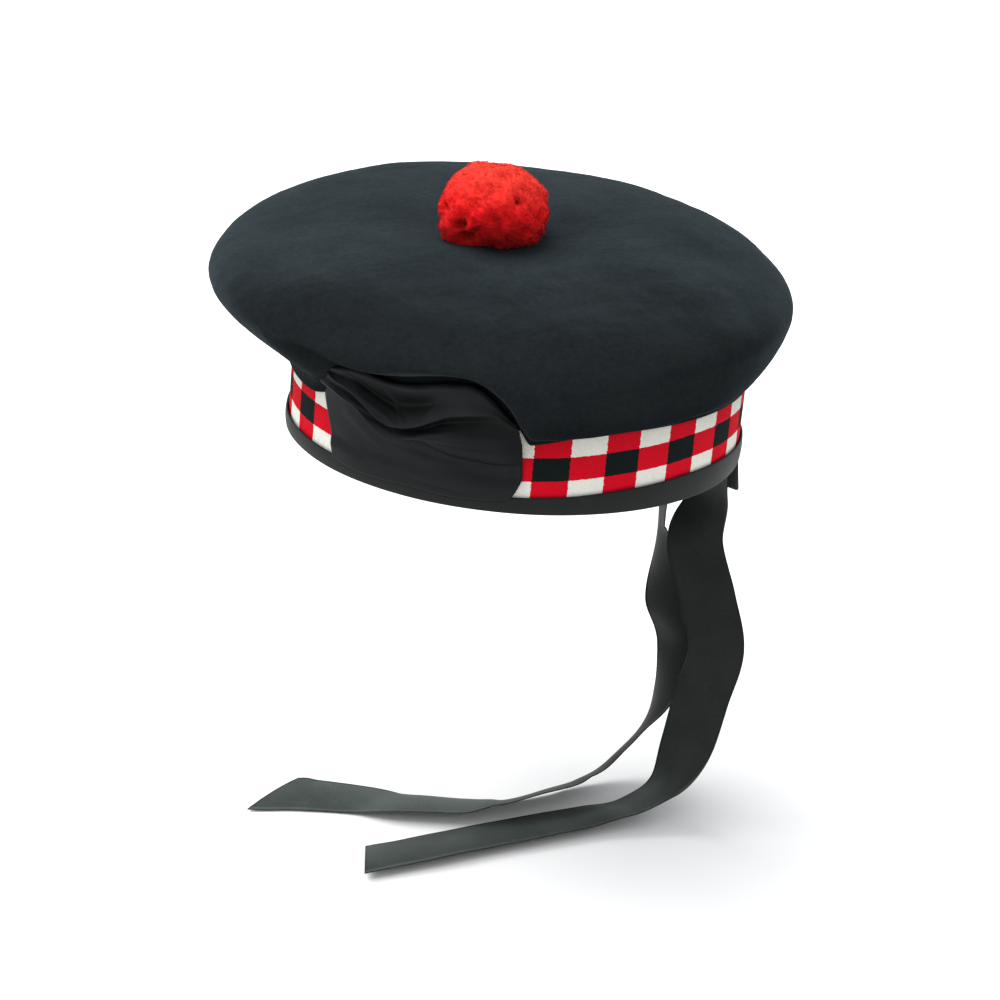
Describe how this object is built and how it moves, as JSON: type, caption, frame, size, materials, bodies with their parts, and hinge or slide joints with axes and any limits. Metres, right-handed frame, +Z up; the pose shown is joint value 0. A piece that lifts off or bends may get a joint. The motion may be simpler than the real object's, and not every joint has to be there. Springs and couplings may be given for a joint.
{
  "type": "balmoral bonnet",
  "caption": "Soft wool bonnet with a wide flat leaning crown, a red toorie, a diced band, a side cockade and hanging ribbon tails.",
  "frame": {"origin": "centre of the head opening in the rim plane, where the head holds the bonnet", "axes": "+Z up out of the crown, the wearer faces -Y, the wearer's left side is +X"},
  "size_m": [0.2358, 0.2467, 0.2936],
  "materials": {
    "crown": "milled wool, soft matt nap",
    "headband": "woven wool dicing in red, white and black",
    "rim_binding": "black ribbed tape",
    "cockade_panel": "black ribbed silk ribbon",
    "cockade_bow": "black ribbed silk ribbon, folded and pinched",
    "toorie": "trimmed red wool yarn",
    "tail_left": "black ribbed silk ribbon",
    "tail_right": "black ribbed silk ribbon",
    "back_tab": "black ribbed silk ribbon, folded"
  },
  "bodies": {
    "root": {"crown": "crown", "headband": "headband", "rim_binding": "rim_binding", "cockade_panel": "cockade_panel", "cockade_bow": "cockade_bow", "toorie": "toorie", "tail_left": "tail_left", "tail_right": "tail_right", "back_tab": "back_tab"}
  },
  "joints": []
}
